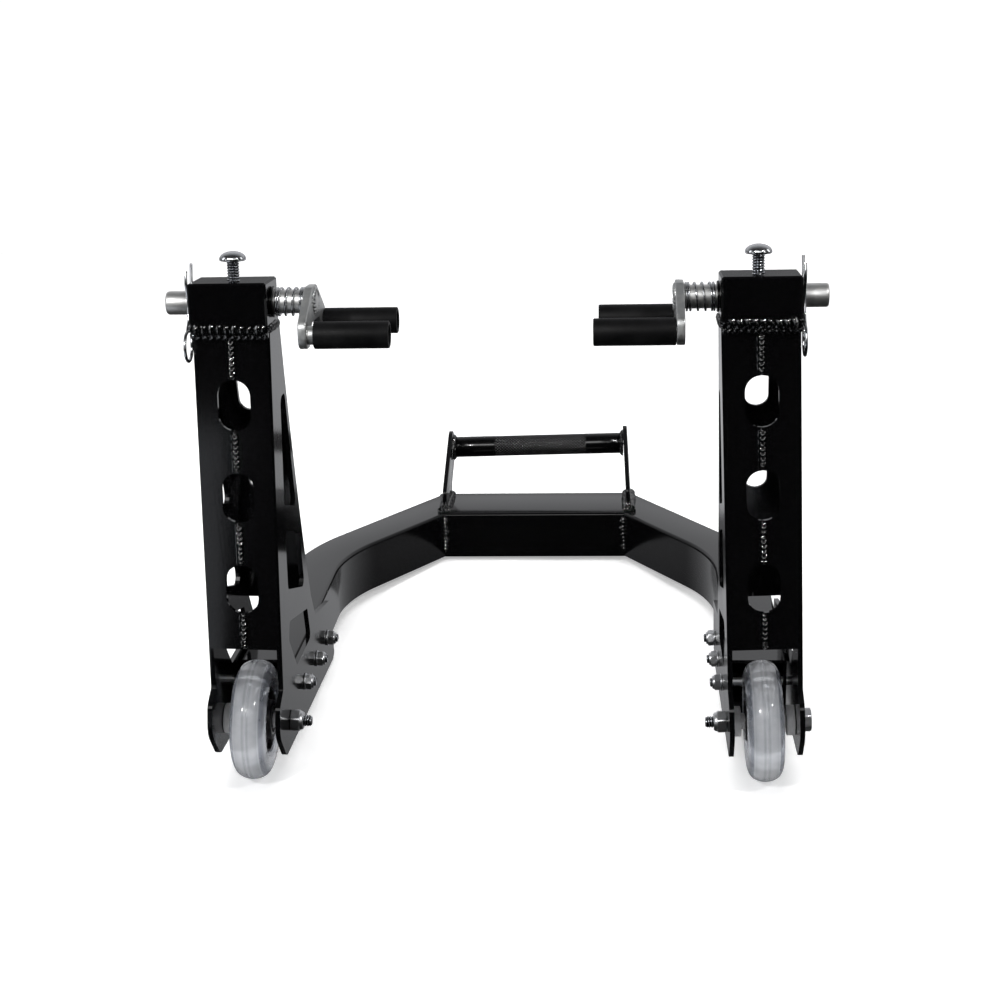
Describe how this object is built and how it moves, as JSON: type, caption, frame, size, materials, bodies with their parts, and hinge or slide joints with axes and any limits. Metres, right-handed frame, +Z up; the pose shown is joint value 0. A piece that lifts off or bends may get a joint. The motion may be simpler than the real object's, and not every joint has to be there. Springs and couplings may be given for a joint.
{
  "type": "motorcycle paddock stand",
  "caption": "Rear paddock stand: U-shaped square-tube frame, wheeled pressed-steel uprights with spring-loaded swivelling forks on sliding pins, and a lifting handle.",
  "frame": {"origin": "on the floor, under the middle of the stand's bounding box", "axes": "+Z up, +Y from the wheeled uprights towards the lifting handle, +X to the right when looking along +Y"},
  "size_m": [0.5018, 0.6682, 0.4471],
  "materials": {
    "gloss_black": "gloss powder coat",
    "bright_zinc": "bright zinc plate",
    "blue_zinc": "satin blue zinc plate",
    "sleeve_rubber": "matte",
    "clear_tyre": "translucent moulded polyurethane",
    "hub_nylon": "moulded nylon",
    "bearing_steel": "ground"
  },
  "bodies": {
    "frame": {"upright_outer_l": "gloss_black", "upright_inner_l": "gloss_black", "head_block_l": "gloss_black", "arm_l": "gloss_black", "handle_bracket_l": "gloss_black", "axle_bolt_l": "bright_zinc", "axle_nut_l": "bright_zinc", "spacer_outer_l": "bright_zinc", "spacer_inner_l": "bright_zinc", "frame_bolt_1_l": "bright_zinc", "frame_nut_1_l": "bright_zinc", "frame_bolt_2_l": "bright_zinc", "frame_nut_2_l": "bright_zinc", "frame_bolt_3_l": "bright_zinc", "frame_nut_3_l": "bright_zinc", "bearing_sleeve_l": "bearing_steel", "upright_outer_r": "gloss_black", "upright_inner_r": "gloss_black", "head_block_r": "gloss_black", "arm_r": "gloss_black", "handle_bracket_r": "gloss_black", "axle_bolt_r": "bright_zinc", "axle_nut_r": "bright_zinc", "spacer_outer_r": "bright_zinc", "spacer_inner_r": "bright_zinc", "frame_bolt_1_r": "bright_zinc", "frame_nut_1_r": "bright_zinc", "frame_bolt_2_r": "bright_zinc", "frame_nut_2_r": "bright_zinc", "frame_bolt_3_r": "bright_zinc", "frame_nut_3_r": "bright_zinc", "bearing_sleeve_r": "bearing_steel", "rear_tube": "gloss_black", "handle_bar": "gloss_black"},
    "wheel_l": {"tyre_l": "clear_tyre", "hub_l": "hub_nylon", "bearing_outer_l": "bearing_steel", "bearing_inner_l": "bearing_steel"},
    "screw_l": {"lock_screw_l": "bright_zinc"},
    "swivel_l": {"spring_washer_l": "gloss_black", "spring_l": "bright_zinc"},
    "fork_l": {"slide_pin_l": "bright_zinc", "fork_l": "blue_zinc", "sleeve_front_l": "sleeve_rubber", "sleeve_rear_l": "sleeve_rubber", "r_clip_l": "bright_zinc"},
    "wheel_r": {"tyre_r": "clear_tyre", "hub_r": "hub_nylon", "bearing_outer_r": "bearing_steel", "bearing_inner_r": "bearing_steel"},
    "screw_r": {"lock_screw_r": "bright_zinc"},
    "swivel_r": {"spring_washer_r": "gloss_black", "spring_r": "bright_zinc"},
    "fork_r": {"slide_pin_r": "bright_zinc", "fork_r": "blue_zinc", "sleeve_front_r": "sleeve_rubber", "sleeve_rear_r": "sleeve_rubber", "r_clip_r": "bright_zinc"}
  },
  "joints": [
    {"name": "wheel_spin_l", "type": "hinge", "parent": "frame", "child": "wheel_l", "pos_m": [-0.2104, -0.27344, 0.05], "axis": [-0.9995, 0.0032, 0.0304], "continuous": true},
    {"name": "lock_screw_turn_out_l", "type": "slide", "parent": "frame", "child": "screw_l", "axis": [0, 0.105, 0.9945], "range_m": [0, 0.012]},
    {"name": "fork_swivel_l", "type": "hinge", "parent": "frame", "child": "swivel_l", "pos_m": [-0.1985, -0.28328, 0.40831], "axis": [-1, 0, 0], "continuous": true},
    {"name": "fork_slide_l", "type": "slide", "parent": "swivel_l", "child": "fork_l", "axis": [-1, 0, 0], "range_m": [0, 0.012], "stiffness_N_per_m": 1500, "springref_m": -0.008, "deforming": ["spring_l"]},
    {"name": "wheel_spin_r", "type": "hinge", "parent": "frame", "child": "wheel_r", "pos_m": [0.2104, -0.27344, 0.05], "axis": [0.9995, 0.0032, 0.0304], "continuous": true},
    {"name": "lock_screw_turn_out_r", "type": "slide", "parent": "frame", "child": "screw_r", "axis": [0, 0.105, 0.9945], "range_m": [0, 0.012]},
    {"name": "fork_swivel_r", "type": "hinge", "parent": "frame", "child": "swivel_r", "pos_m": [0.1985, -0.28328, 0.40831], "axis": [1, 0, 0], "continuous": true},
    {"name": "fork_slide_r", "type": "slide", "parent": "swivel_r", "child": "fork_r", "axis": [1, 0, 0], "range_m": [0, 0.012], "stiffness_N_per_m": 1500, "springref_m": -0.008, "deforming": ["spring_r"]}
  ]
}
